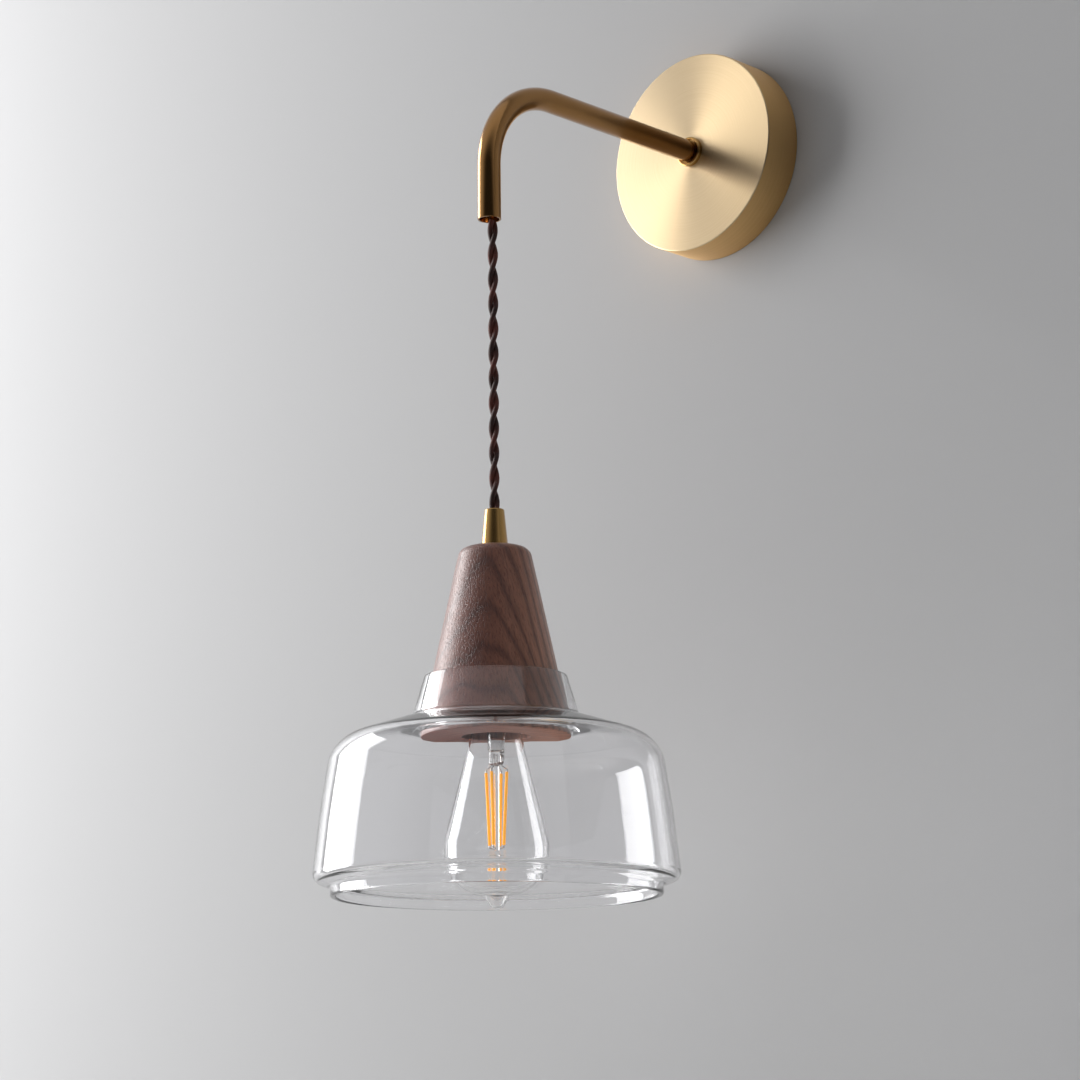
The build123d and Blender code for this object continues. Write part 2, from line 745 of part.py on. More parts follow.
# ---- the cord's end in the pendant, and its cores to the terminals --------
core_split_z = cap_inside[0].Y
terminal_middle = insert_top + holder_terminal_height / 2
with BuildPart() as holder_cord:
    with BuildSketch(level(ferrule_z - ferrule_neck_length)):
        Circle(cord_radius)
    extrude(amount=core_split_z - ferrule_z + ferrule_neck_length)
finish(holder_cord, "holder_cord")

terminal_side = (holder_terminal_spacing - holder_terminal_diameter) / 2
with BuildPart() as holder_cores:
    for side in (-1, 1):
        with BuildLine(pendant_plane):
            FilletPolyline(
                (side * core_part, core_split_z),
                (side * core_part, terminal_middle),
                (side * terminal_side, terminal_middle),
                radius=core_bend_radius / 2,
            )
        with BuildSketch(level(core_split_z)):
            with Locations((side * core_part, 0)):
                Circle(core_diameter / 2)
        sweep()
finish(holder_cores, "holder_cores")

# ---- glass shade: blown, with a ring inside its neck that sits on the cone -
crease_z = cone_base_z + shade_crease_height
rim_z = crease_z + shade_neck_height
rim_inner_radius = cone_radius(rim_z) + shade_rim_clearance
crease_radius = cone_radius(crease_z) + shade_crease_overhang
shoulder_z = crease_z - shade_shoulder_drop
foot_z = shoulder_z - shade_wall_height
step_z = foot_z - shade_step_drop
wall_middle = (
    (shade_shoulder_diameter + shade_foot_diameter) / 4 + shade_wall_bulge,
    (shoulder_z + foot_z) / 2,
)
shade_outside = [
    (rim_inner_radius + shade_rim_glass, rim_z),
    (crease_radius, crease_z),
    (shade_shoulder_diameter / 2, shoulder_z),
    wall_middle,
    (shade_foot_diameter / 2, foot_z),
    (shade_lip_diameter / 2, step_z),
    (shade_lip_diameter / 2, step_z - shade_lip_height),
]
seat_top_z = cone_base_z + seat_top_height
seat_bottom_z = cone_base_z + seat_bottom_height
seat_inner = cone_radius(seat_bottom_z) + moving_gap
seat_outer = seat_inner + seat_width
wall_inside = inset(shade_outside, shade_glass)
shoulder_slope = shade_shoulder_drop / (shade_shoulder_diameter / 2 - crease_radius)
shade_inside = [
    (rim_inner_radius, rim_z),
    (cone_radius(seat_top_z) + moving_gap, seat_top_z),
    (seat_inner, seat_bottom_z),
    (seat_outer, wall_inside[1].Y - (seat_outer - wall_inside[1].X) * shoulder_slope),
    *wall_inside[2:],
]
with BuildPart() as glass_shade:
    with BuildSketch(pendant_plane):
        with BuildLine():
            outside = FilletPolyline(
                *shade_outside,
                radius=(
                    shade_crease_radius,
                    shade_shoulder_radius,
                    shade_bulge_radius,
                    shade_foot_radius,
                    shade_step_radius,
                ),
            )
            inside = FilletPolyline(
                *shade_inside,
                radius=(
                    seat_top_radius,
                    seat_bottom_radius,
                    seat_flare_radius,
                    shade_shoulder_radius - shade_glass,
                    shade_bulge_radius - shade_glass,
                    shade_foot_radius - shade_glass,
                    shade_step_radius + shade_glass,
                ),
            )
            Line(outside @ 0, inside @ 0)
            Line(outside @ 1, inside @ 1)
        make_face()
    revolve(axis=pendant_axis)
    fillet(glass_shade.edges().group_by(Axis.Z)[-1], shade_edge_radius)
    fillet(glass_shade.edges().group_by(Axis.Z)[0], shade_edge_radius)
finish(glass_shade, "glass_shade")

# ---- bulb: cap, insulator and contact -------------------------------------
bulb_cap_radius = bulb_cap_diameter / 2
with BuildPart() as bulb_cap:
    with BuildSketch(level(bulb_cap_z)):
        Circle(bulb_cap_radius)
    extrude(amount=-bulb_cap_height)
    chamfer(bulb_cap.edges().group_by(Axis.Z)[-1], bulb_cap_chamfer)
    offset(amount=-bulb_cap_wall, openings=bulb_cap.faces().filter_by(Axis.Z))
finish(bulb_cap, "bulb_cap")

with BuildPart() as bulb_insulator:
    with BuildSketch(level(bulb_cap_z)):
        Circle(bulb_cap_radius - bulb_cap_chamfer - bulb_cap_wall)
    with BuildSketch(level(bulb_cap_z + bulb_insulator_height)):
        Circle(bulb_insulator_top_diameter / 2)
    loft()
finish(bulb_insulator, "bulb_insulator")

with BuildPart() as bulb_contact:
    with BuildSketch(level(bulb_z - bulb_contact_height)):
        Circle(bulb_contact_diameter / 2)
    extrude(amount=bulb_contact_height)
    fillet(bulb_contact.edges().group_by(Axis.Z)[-1], bulb_contact_height / 3)
finish(bulb_contact, "bulb_contact")

# ---- bulb: glass envelope, drawn out to a tip -----------------------------
neck_root_z = bulb_cap_end_z + bulb_neck_insertion
envelope_outside = [
    (bulb_neck_root_diameter / 2, neck_root_z),
    (bulb_neck_root_diameter / 2, bulb_cap_end_z),
    (bulb_neck_diameter / 2, bulb_cap_end_z - bulb_glass),
    (bulb_neck_diameter / 2, bulb_cap_end_z - bulb_neck_length),
    (bulb_corner_diameter / 2, dome_z + bulb_corner_height),
    (bulb_dome_diameter / 2, dome_z + bulb_dome_rise),
    (0, dome_z),
]
envelope_inside = inset(envelope_outside, bulb_glass)
envelope_inside[-1] = Vector(0, envelope_inside[-1].Y)
envelope_radii = (0, 0, bulb_flare_radius, bulb_corner_radius, bulb_dome_radius)
inner_radii = (0, 0, bulb_flare_radius, bulb_corner_radius - bulb_glass, bulb_dome_radius - bulb_glass)
with BuildPart() as bulb_envelope:
    with BuildSketch(pendant_plane):
        with BuildLine():
            outside = FilletPolyline(*envelope_outside, radius=envelope_radii)
            inside = FilletPolyline(*envelope_inside, radius=inner_radii)
            Line(outside @ 0, inside @ 0)
            Line(outside @ 1, inside @ 1)
        make_face()
    revolve(axis=pendant_axis)
    with BuildSketch(pendant_plane):
        with BuildLine():
            FilletPolyline(
                (0, dome_z + bulb_glass),
                (bulb_tip_diameter / 2, dome_z + bulb_glass),
                (bulb_tip_radius, dome_z - bulb_tip_length / 2),
                (bulb_tip_radius / 2, dome_z - bulb_tip_length),
                (0, dome_z - bulb_tip_length),
                radius=(0, bulb_tip_length, bulb_tip_radius / 4),
            )
            Line((0, dome_z - bulb_tip_length), (0, dome_z + bulb_glass))
        make_face()
    revolve(axis=pendant_axis)
finish(bulb_envelope, "bulb_envelope")

# ---- bulb: driver board on the neck's root, and the glass stem ------------
neck_inner_radius = bulb_neck_root_diameter / 2 - bulb_glass
with BuildPart() as bulb_driver:
    with BuildSketch(level(neck_root_z + fit_gap)):
        Circle(bulb_neck_root_diameter / 2)
    extrude(amount=driver_thickness)
finish(bulb_driver, "bulb_driver")

stem_end_z = neck_root_z - stem_length
stem_radius = stem_diameter / 2
stem_bore = stem_radius - bulb_glass
with BuildPart() as bulb_stem:
    with BuildSketch(pendant_plane):
        with BuildLine():
            FilletPolyline(
                (neck_inner_radius - fit_gap, neck_root_z),
                (stem_radius, neck_root_z - stem_flare_height),
                (stem_radius, stem_end_z),
                (0, stem_end_z),
                (0, stem_end_z + stem_press_length),
                (stem_bore, stem_end_z + stem_press_length),
                (stem_bore, neck_root_z - stem_flare_height),
                (neck_inner_radius - fit_gap - bulb_glass, neck_root_z),
                radius=(stem_flare_height, stem_end_radius, 0, 0, stem_end_radius, stem_flare_height),
            )
            Line(
                (neck_inner_radius - fit_gap - bulb_glass, neck_root_z),
                (neck_inner_radius - fit_gap, neck_root_z),
            )
        make_face()
    revolve(axis=pendant_axis)
    with BuildSketch(level(stem_end_z)):
        Circle(stem_rod_diameter / 2)
    extrude(amount=-stem_rod_length)
finish(bulb_stem, "bulb_stem")

# ---- bulb: filaments and the wires that carry them ------------------------
filament_top_z = stem_end_z - filament_drop
filament_end_z = filament_top_z - filament_length
filament_turns = [filament_turn + 360 / filament_count * place for place in range(filament_count)]


def upright(turn):
    # The upright plane through the pendant's axis, turned from +X.
    x, y = cos(radians(turn)), sin(radians(turn))
    return Plane(origin=(0, pendant_y, 0), x_dir=(x, y, 0), z_dir=(y, -x, 0))


with BuildPart() as bulb_filaments:
    for turn in filament_turns:
        with BuildLine(upright(turn)) as filament_line:
            Line(
                (filament_top_circle / 2, filament_top_z),
                (filament_bottom_circle / 2, filament_end_z),
            )
        with BuildSketch(Plane(filament_line.line @ 0, z_dir=filament_line.line % 0)):
            Circle(filament_diameter / 2)
        sweep()
finish(bulb_filaments, "bulb_filaments")

wire_lift = wire_diameter / 2 + fit_gap
with BuildPart() as bulb_wires:
    for turn in filament_turns:
        for start, end in (
            (
                (stem_radius - stem_end_radius, stem_end_z - wire_lift),
                (filament_top_circle / 2, filament_top_z + wire_lift),
            ),
            (
                (stem_rod_diameter / 2 + wire_lift, filament_end_z - 3 * wire_lift),
                (filament_bottom_circle / 2, filament_end_z - wire_lift),
            ),
        ):
            with BuildLine(upright(turn)) as wire_line:
                Line(start, end)
            with BuildSketch(Plane(wire_line.line @ 0, z_dir=wire_line.line % 0)):
                Circle(wire_diameter / 2)
            sweep()
finish(bulb_wires, "bulb_wires")

os.makedirs("parts", exist_ok=True)
for piece in finished:
    export_step(piece, f"parts/{piece.label}.step")
    print(piece.label, len(piece.solids()), "solid", round(piece.volume, 1), "mm3")
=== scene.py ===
import json
from math import atan2, cos, hypot, pi, radians, sin, tan

import bmesh
import bpy
from mathutils import Matrix, Vector


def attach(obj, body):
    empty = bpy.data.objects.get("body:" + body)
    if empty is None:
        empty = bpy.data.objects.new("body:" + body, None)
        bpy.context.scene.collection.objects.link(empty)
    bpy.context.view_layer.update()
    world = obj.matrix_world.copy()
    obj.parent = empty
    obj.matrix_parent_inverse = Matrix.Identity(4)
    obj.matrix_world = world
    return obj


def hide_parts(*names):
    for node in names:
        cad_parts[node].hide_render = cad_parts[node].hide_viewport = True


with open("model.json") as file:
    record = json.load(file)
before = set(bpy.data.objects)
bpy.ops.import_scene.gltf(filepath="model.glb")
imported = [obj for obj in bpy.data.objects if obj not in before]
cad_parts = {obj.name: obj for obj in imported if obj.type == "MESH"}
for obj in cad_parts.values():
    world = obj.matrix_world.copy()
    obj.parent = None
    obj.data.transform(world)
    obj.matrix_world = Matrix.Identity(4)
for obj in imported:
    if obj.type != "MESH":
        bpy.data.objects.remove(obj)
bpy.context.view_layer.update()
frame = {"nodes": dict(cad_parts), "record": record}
print("stage: frame loaded")

mm = 0.001
tiny = 1e-6        # metres: points closer together than this count as one
pendantY = -202.4  # the hanging part's axis, in mm from the wall
mouthZ = -84.5     # where the cord leaves the arm
slotOf = {row["node"]: row["material_slot"] for row in frame["record"]["subparts"]}


def hexColour(code):
    # sRGB hex to the linear values that the nodes want
    channels = [int(code[i:i + 2], 16) / 255 for i in (0, 2, 4)]
    linear = [c / 12.92 if c <= 0.04045 else ((c + 0.055) / 1.055) ** 2.4 for c in channels]
    return (*linear, 1)


def addNode(tree, kind, settings, links=None):
    # settings are sockets, by name or number, or the node's own switches; stops fill a ramp
    node = tree.nodes.new("ShaderNode" + kind)
    for key, value in settings.items():
        if key == "stops":
            points = node.color_ramp.elements
            while len(points) < len(value):
                points.new(0.5)
            for point, (place, colour) in zip(points, value):
                point.position = place
                point.color = hexColour(colour)
        elif isinstance(key, int) or key in node.inputs:
            node.inputs[key].default_value = value
        else:
            setattr(node, key, value)
    for key, source in (links or {}).items():
        tree.links.new(source, node.inputs[key])
    return node


def newMaterial(name, finish):
    # a material with one Principled surface, whose constants come from finish
    material = bpy.data.materials.new(name)
    material.use_nodes = True
    tree = material.node_tree
    tree.nodes.clear()
    surface = addNode(tree, "BsdfPrincipled", finish)
    addNode(tree, "OutputMaterial", {}, {"Surface": surface.outputs[0]})
    return material, tree, surface


def swapSurface(tree, shader):
    # puts another shader on the material's output
    output = next(n for n in tree.nodes if n.type == "OUTPUT_MATERIAL")
    tree.links.new(shader.outputs[0], output.inputs["Surface"])


def turned(outline, steps=128, ring=True):
    # turns an outline of (radius, height, corner radius), in mm, about Z; ring joins its two ends
    bm = bmesh.new()
    along = bm.verts.layers.float.new("along")
    points = [bm.verts.new((r * mm, 0, z * mm)) for r, z, _ in outline]
    pairs = list(zip(points, points[1:])) + ([(points[-1], points[0])] if ring else [])
    for pair in pairs:
        bm.edges.new(pair)
    places = [Vector((r, 0, z)) for r, z, _ in outline]
    for i, (r, z, corner) in enumerate(outline):
        if not corner:
            continue
        before, after = places[i - 1], places[(i + 1) % len(places)]
        turn = (places[i] - before).angle(after - places[i])
        # a corner that turns further, or is rounder, gets more segments
        bmesh.ops.bevel(bm, geom=[points[i]], offset=corner * tan(turn / 2) * mm,
                        offset_type="OFFSET", segments=max(3, int(turn * 8 + corner / 4)),
                        profile=0.5, affect="VERTICES", clamp_overlap=False, material=-1)
    # how far each point lies along the outline, for the UV map
    bm.verts.ensure_lookup_table()
    ends = [v for v in bm.verts if len(v.link_edges) == 1]
    start = ends[0] if ends else bm.verts[0]
    vert, edge, length = start, None, 0.0
    while True:
        vert[along] = length
        onward = [e for e in vert.link_edges if e != edge]
        if not onward:
            break
        edge = onward[0]
        length += edge.calc_length()
        vert = edge.other_vert(vert)
        if vert == start:
            break
    bmesh.ops.spin(bm, geom=bm.verts[:] + bm.edges[:], cent=(0, 0, 0), axis=(0, 0, 1),
                   angle=2 * pi, steps=steps, use_merge=True)
    bmesh.ops.remove_doubles(bm, verts=bm.verts, dist=tiny)
    bmesh.ops.recalc_face_normals(bm, faces=bm.faces)
    # u runs once round, v in metres along the outline
    turnedMap = bm.loops.layers.uv.new("turned")
    for face in bm.faces:
        middle = face.calc_center_median()
        home = atan2(middle.y, middle.x) / (2 * pi)
        for loop in face.loops:
            spot = loop.vert.co
            u = home if hypot(spot.x, spot.y) < tiny else atan2(spot.y, spot.x) / (2 * pi)
            u += round(home - u)
            loop[turnedMap].uv = (u, loop.vert[along])
    return bm


def lining(outline, wall):
    # the inner line of an outline that runs downwards, a wall's thickness inside it, in mm
    spots = [Vector((r, z)) for r, z, _ in outline]
    ways = [(b - a).normalized() for a, b in zip(spots, spots[1:])]
    sides = [Vector((way.y, -way.x)) for way in ways]
    inner = [(*(spots[0] + sides[0] * wall), 0)]
    for spot, row, n, m in zip(spots[1:-1], outline[1:-1], sides, sides[1:]):
        spread = wall if n.cross(m) > 0 else -wall
        place = spot + (n + m) * wall / (1 + n.dot(m))
        inner.append((*place, max(0.2, row[2] + spread) if row[2] else 0))
    return inner + [(*(spots[-1] + sides[-1] * wall), 0)]


def onWallAxis(bm):
    # turns a piece's Z axis out of the wall, towards -Y
    bmesh.ops.transform(bm, matrix=Matrix.Rotation(radians(90), 4, "X"), verts=bm.verts)
    return bm


def onPendantAxis(bm):
    bmesh.ops.translate(bm, vec=(0, pendantY * mm, 0), verts=bm.verts)
    return bm


def newObject(name, bm, material):
    # makes an object of a bmesh that already stands in place, in metres
    mesh = bpy.data.meshes.new(name)
    bm.to_mesh(mesh)
    bm.free()
    mesh.materials.append(material)
    made = bpy.data.objects.new(name, mesh)
    bpy.context.scene.collection.objects.link(made)
    return made


def newPiece(name, bm, material, body, *stands):
    # a piece of the lamp, smooth but for edges over 32 degrees, in place of its CAD solids
    piece = newObject(name, bm, material)
    piece.data.shade_smooth()
    piece.data.set_sharp_from_angle(angle=radians(32))
    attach(piece, body)
    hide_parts(*stands)
    return piece


# camera: a long lens, low on the right of the lamp, looking up at it
view = {"place": (1.12632, -1.34842, -0.61004), "yaw": 43.603, "pitch": 11.911,
        "roll": -0.571, "lens": 98.109, "sensor": 36}

cameraData = bpy.data.cameras.new("camera")
cameraData.lens = view["lens"]
cameraData.sensor_width = view["sensor"]
cameraData.sensor_fit = "HORIZONTAL"
cameraData.clip_end = 50
camera = bpy.data.objects.new("camera", cameraData)
bpy.context.scene.collection.objects.link(camera)
camera.matrix_world = (Matrix.Translation(view["place"])
                       @ Matrix.Rotation(radians(view["yaw"]), 4, "Z")
                       @ Matrix.Rotation(radians(90 + view["pitch"]), 4, "X")
                       @ Matrix.Rotation(radians(view["roll"]), 4, "Z"))
bpy.context.scene.camera = camera
print("stage: camera set")


def satinBrass(name, colour, roughness, coat, lines):
    # lacquered brass, brushed with fine abrasive: a warm, soft mirror with faint lines
    # the brush lines are 0.3 mm apart and run along the axes with a small number in lines
    finish = {"Base Color": hexColour(colour), "Metallic": 1.0, "Roughness": roughness,
              "Coat Weight": coat, "Coat Roughness": 0.12}
    material, tree, surface = newMaterial(name, finish)
    place = addNode(tree, "TexCoord", {})
    lay = addNode(tree, "Mapping", {"Scale": lines}, {"Vector": place.outputs["Object"]})
    grain = addNode(tree, "TexNoise", {"Scale": 1 / (0.3 * mm), "Detail": 3.0},
                    {"Vector": lay.outputs[0]})
    cloud = addNode(tree, "TexNoise", {"Scale": 1 / (22 * mm), "Detail": 2.0},
                    {"Vector": place.outputs["Object"]})  # handling marks, about 22 mm wide
    mixed = addNode(tree, "Math", {"operation": "MULTIPLY_ADD", 1: 0.5},
                    {0: grain.outputs[0], 2: cloud.outputs[0]})
    sheen = addNode(tree, "MapRange", {"From Min": 0.45, "From Max": 1.05,
                                       "To Min": roughness - 0.05,
                                       "To Max": roughness + 0.06},
                    {"Value": mixed.outputs[0]})
    tree.links.new(sheen.outputs[0], surface.inputs["Roughness"])
    bump = addNode(tree, "Bump", {"Strength": 0.12, "Distance": 0.02 * mm},
                   {"Height": grain.outputs[0]})
    tree.links.new(bump.outputs[0], surface.inputs["Normal"])
    return material


# the plate's face and rim are one brass sheet in two tones: the rim's brighter, deeper gold is
# painted light on the rim, and the face's paler, greyer tone is a painted washed-out highlight
brassColour = {"face": ("CCB288", "D6BE96"), "side": ("DCB070", "E6BD80"),
               "tube": "A87A42", "edge": "BC9455"}


def spunBrass(name, tones, roughness, coat):
    # the plate: lacquered brass sheet brushed while it spins, so light fans out from its middle
    finish = {"Base Color": hexColour(tones[0]), "Metallic": 1.0, "Roughness": roughness,
              "Anisotropic": 0.8, "Anisotropic Rotation": 0.25, "Coat Weight": coat,
              "Coat Roughness": 0.3}
    material, tree, surface = newMaterial(name, finish)
    about = addNode(tree, "UVMap", {"uv_map": "turned"})
    split = addNode(tree, "SeparateXYZ", {}, {0: about.outputs[0]})
    # brush lines 0.35 mm apart run round the middle, and change about three times on their way
    line = addNode(tree, "Math", {"operation": "MULTIPLY", 1: 1 / (0.35 * mm)},
                   {0: split.outputs["Y"]})
    drift = addNode(tree, "Math", {"operation": "MULTIPLY", 1: 3.0}, {0: split.outputs["X"]})
    spot = addNode(tree, "CombineXYZ", {}, {"X": line.outputs[0], "Y": drift.outputs[0]})
    grain = addNode(tree, "TexNoise", {"Scale": 1.0, "Detail": 2.0}, {"Vector": spot.outputs[0]})
    sheen = addNode(tree, "MapRange", {"From Min": 0.3, "From Max": 0.7,
                                       "To Min": roughness - 0.05, "To Max": roughness + 0.05},
                    {"Value": grain.outputs[0]})
    tree.links.new(sheen.outputs[0], surface.inputs["Roughness"])
    tone = addNode(tree, "ValToRGB", {"stops": [(0.3, tones[0]), (0.7, tones[1])]},
                   {"Fac": grain.outputs[0]})
    tree.links.new(tone.outputs[0], surface.inputs["Base Color"])
    bump = addNode(tree, "Bump", {"Strength": 0.08, "Distance": 0.01 * mm},
                   {"Height": grain.outputs[0]})
    tree.links.new(bump.outputs[0], surface.inputs["Normal"])
    tree.links.new(bump.outputs[0], surface.inputs["Coat Normal"])
    tangent = addNode(tree, "Tangent", {"direction_type": "UV_MAP", "uv_map": "turned"})
    tree.links.new(tangent.outputs[0], surface.inputs["Tangent"])
    return material


def metal(name, colour, roughness, grainSize, strength):
    # plated or plain metal with a fine uneven skin, grainSize in mm
    finish = {"Base Color": hexColour(colour), "Metallic": 1.0, "Roughness": roughness}
    material, tree, surface = newMaterial(name, finish)
    place = addNode(tree, "TexCoord", {})
    skin = addNode(tree, "TexNoise", {"Scale": 1 / (grainSize * mm), "Detail": 4.0},
                   {"Vector": place.outputs["Object"]})
    sheen = addNode(tree, "MapRange", {"To Min": roughness - 0.08, "To Max": roughness + 0.12},
                    {"Value": skin.outputs[0]})
    tree.links.new(sheen.outputs[0], surface.inputs["Roughness"])
    bump = addNode(tree, "Bump", {"Strength": strength, "Distance": 0.03 * mm},
                   {"Height": skin.outputs[0]})
    tree.links.new(bump.outputs[0], surface.inputs["Normal"])
    return material


def moulded(name, colour, roughness, grainSize):
    # moulded plastic or fired clay: an even body colour with a faint orange peel
    finish = {"Base Color": hexColour(colour), "Roughness": roughness, "IOR": 1.5}
    material, tree, surface = newMaterial(name, finish)
    place = addNode(tree, "TexCoord", {})
    peel = addNode(tree, "TexNoise", {"Scale": 1 / (grainSize * mm), "Detail": 3.0},
                   {"Vector": place.outputs["Object"]})
    sheen = addNode(tree, "MapRange", {"To Min": roughness - 0.06, "To Max": roughness + 0.08},
                    {"Value": peel.outputs[0]})
    tree.links.new(sheen.outputs[0], surface.inputs["Roughness"])
    bump = addNode(tree, "Bump", {"Strength": 0.15, "Distance": 0.04 * mm},
                   {"Height": peel.outputs[0]})
    tree.links.new(bump.outputs[0], surface.inputs["Normal"])
    return material


def turnedWalnut(name, gloss, oil):
    # walnut turned across its growth rings and sanded: brown with a violet cast, darker late
    # wood in tall arches, and open pores that catch the light as frosty dashes
    # oil is the weight of the clear oil film, 0 on bare wood, and gloss the wood's own shine
    finish = {"Base Color": hexColour("7A5446"), "Roughness": 0.5, "IOR": 1.5,
              "Specular IOR Level": gloss, "Coat Weight": oil, "Coat Roughness": 0.28}
    material, tree, surface = newMaterial(name, finish)
    place = addNode(tree, "TexCoord", {})
    # the tree's heart stands 74 mm from the cone's axis, and its grain leans 12 degrees
    heart = addNode(tree, "Mapping", {"vector_type": "POINT", "Location": (0.0627, 0.1755, 0.0),
                                      "Rotation": (radians(-8.3), radians(8.7), 0)},
                    {"Vector": place.outputs["Object"]})
    # painted light: the colour turns lighter and warmer over 40 mm towards the side that faces the
    # camera's right, standing in for light on that side
    across = addNode(tree, "Mapping", {"vector_type": "POINT", "Rotation": (0, 0, radians(-43.6)),
                                       "Location": (0.1396, 0, 0)},
                     {"Vector": place.outputs["Object"]})
    side = addNode(tree, "SeparateXYZ", {}, {0: across.outputs[0]})
    paintedLitSide = addNode(tree, "MapRange", {"From Min": -12 * mm, "From Max": 28 * mm},
                     {"Value": side.outputs[0]})
    sway = addNode(tree, "Mapping", {"Scale": (1, 1, 0.22)}, {"Vector": heart.outputs[0]})
    bend = addNode(tree, "TexNoise", {"Scale": 1 / (38 * mm), "Detail": 2.0},
                   {"Vector": sway.outputs[0]})
    shift = addNode(tree, "VectorMath", {"operation": "SCALE", "Scale": 16 * mm},
                    {0: bend.outputs["Color"]})  # the rings wander by up to 16 mm
    bent = addNode(tree, "VectorMath", {"operation": "ADD"},
                   {0: heart.outputs[0], 1: shift.outputs[0]})
    flat = addNode(tree, "VectorMath", {"operation": "MULTIPLY", 1: (1, 1, 0.0)},
                   {0: bent.outputs[0]})
    rings = addNode(tree, "TexWave", {"wave_type": "RINGS", "rings_direction": "Z",
                                      "Scale": 2 * pi / (20 * 5.5 * mm), "Distortion": 0.0},
                    {"Vector": flat.outputs[0]})  # rings about 5.5 mm apart
    violet = addNode(tree, "ValToRGB", {"stops": [(0.0, "8C5648"), (0.6, "875346"),
                                                  (0.85, "7F4D41"), (1.0, "714439")]},
                     {"Fac": rings.outputs[0]})
    # the lighter, warmer tones of the painted lit side
    litSideTones = addNode(tree, "ValToRGB", {"stops": [(0.0, "BC8064"), (0.6, "B3785C"),
                                                (0.85, "A0694F"), (1.0, "86543F")]},
                   {"Fac": rings.outputs[0]})
    tone = addNode(tree, "Mix", {"data_type": "RGBA"},
                   {0: paintedLitSide.outputs[0], 6: violet.outputs[0], 7: litSideTones.outputs[0]})
    # fibres: drawn 0.9 mm wide and 30 mm long, coarser than real, so that they show
    fibreLay = addNode(tree, "Mapping", {"Scale": (1, 1, 0.03)}, {"Vector": heart.outputs[0]})
    fibre = addNode(tree, "TexNoise", {"Scale": 1 / (0.9 * mm), "Detail": 3.0,
                                       "Roughness": 0.65}, {"Vector": fibreLay.outputs[0]})
    # pores: dashes 0.7 mm wide and 5 mm long
    poreLay = addNode(tree, "Mapping", {"Scale": (1, 1, 0.14)}, {"Vector": heart.outputs[0]})
    pore = addNode(tree, "TexNoise", {"Scale": 1 / (0.7 * mm), "Detail": 1.0},
                   {"Vector": poreLay.outputs[0]})
    dash = addNode(tree, "MapRange", {"From Min": 0.54, "From Max": 0.62},
                   {"Value": pore.outputs[0]})
    streak = addNode(tree, "MapRange", {"From Min": 0.3, "From Max": 0.7, "To Min": 0.78,
                                        "To Max": 1.2}, {"Value": fibre.outputs[0]})
    shade = addNode(tree, "VectorMath", {"operation": "SCALE"},
                    {0: tone.outputs[2], "Scale": streak.outputs[0]})
    wood = addNode(tree, "Mix", {"data_type": "RGBA", "blend_type": "MULTIPLY",
                                 7: hexColour("DED2CA")},
                   {0: dash.outputs[0], 6: shade.outputs[0]})
    tree.links.new(wood.outputs[2], surface.inputs["Base Color"])
    dull = addNode(tree, "MapRange", {"To Min": 0.44, "To Max": 0.62}, {"Value": fibre.outputs[0]})
    tree.links.new(dull.outputs[0], surface.inputs["Roughness"])
    # the pores show as frosty grain where the light comes in low
    relief = addNode(tree, "Math", {"operation": "MULTIPLY_ADD", 1: -1.2},
                     {0: dash.outputs[0], 2: fibre.outputs[0]})
    bump = addNode(tree, "Bump", {"Strength": 0.6, "Distance": 0.16 * mm},
                   {"Height": relief.outputs[0]})
    tree.links.new(bump.outputs[0], surface.inputs["Normal"])
    tree.links.new(bump.outputs[0], surface.inputs["Coat Normal"])
    return material


def clearGlass(name, tint, ior, wave, strength):
    # blown glass: clear, with slow waves that bend what is seen through it; lamps shine through
    finish = {"Base Color": hexColour(tint), "Roughness": 0.0, "IOR": ior,
              "Transmission Weight": 1.0}
    material, tree, surface = newMaterial(name, finish)
    place = addNode(tree, "TexCoord", {})
    swell = addNode(tree, "TexNoise", {"Scale": 1 / (wave * mm), "Detail": 1.0},
                    {"Vector": place.outputs["Object"]})
    bump = addNode(tree, "Bump", {"Strength": strength, "Distance": 1 * mm},
                   {"Height": swell.outputs[0]})
    tree.links.new(bump.outputs[0], surface.inputs["Normal"])
    rays = addNode(tree, "LightPath", {})
    through = addNode(tree, "BsdfTransparent", {"Color": hexColour(tint)})
    both = addNode(tree, "MixShader", {}, {0: rays.outputs["Is Shadow Ray"],
                                           1: surface.outputs[0], 2: through.outputs[0]})
    swapSurface(tree, both)
    return material


def braidedTextile():
    # rayon yarn braided over each core: dark brown, with a soft silky edge
    finish = {"Base Color": hexColour("48211A"), "Roughness": 0.55, "Sheen Weight": 0.5,
              "Sheen Roughness": 0.35, "Sheen Tint": hexColour("B07A6C")}
    material, tree, surface = newMaterial("braided brown textile", finish)
    strand = addNode(tree, "UVMap", {"uv_map": "strand"})
    # braid: 1.1 mm diamonds, drawn coarser than the real 0.6 mm so that they show
    left = addNode(tree, "Mapping", {"Rotation": (0, 0, radians(45))},
                   {"Vector": strand.outputs[0]})
    braid = addNode(tree, "TexChecker", {"Scale": 1 / (0.8 * mm), "Color1": hexColour("6A3024"),
                                         "Color2": hexColour("30140F")},
                    {"Vector": left.outputs[0]})
    fuzz = addNode(tree, "TexNoise", {"Scale": 1 / (0.5 * mm), "Detail": 2.0},
                   {"Vector": strand.outputs[0]})
    tone = addNode(tree, "Mix", {"data_type": "RGBA", "blend_type": "OVERLAY", 0: 0.5},
                   {6: braid.outputs[0], 7: fuzz.outputs["Color"]})
    tree.links.new(tone.outputs[2], surface.inputs["Base Color"])
    height = addNode(tree, "Math", {"operation": "MULTIPLY_ADD", 1: 0.5},
                     {0: braid.outputs["Fac"], 2: fuzz.outputs[0]})
    bump = addNode(tree, "Bump", {"Strength": 0.6, "Distance": 0.15 * mm},
                   {"Height": height.outputs[0]})
    tree.links.new(bump.outputs[0], surface.inputs["Normal"])
    return material


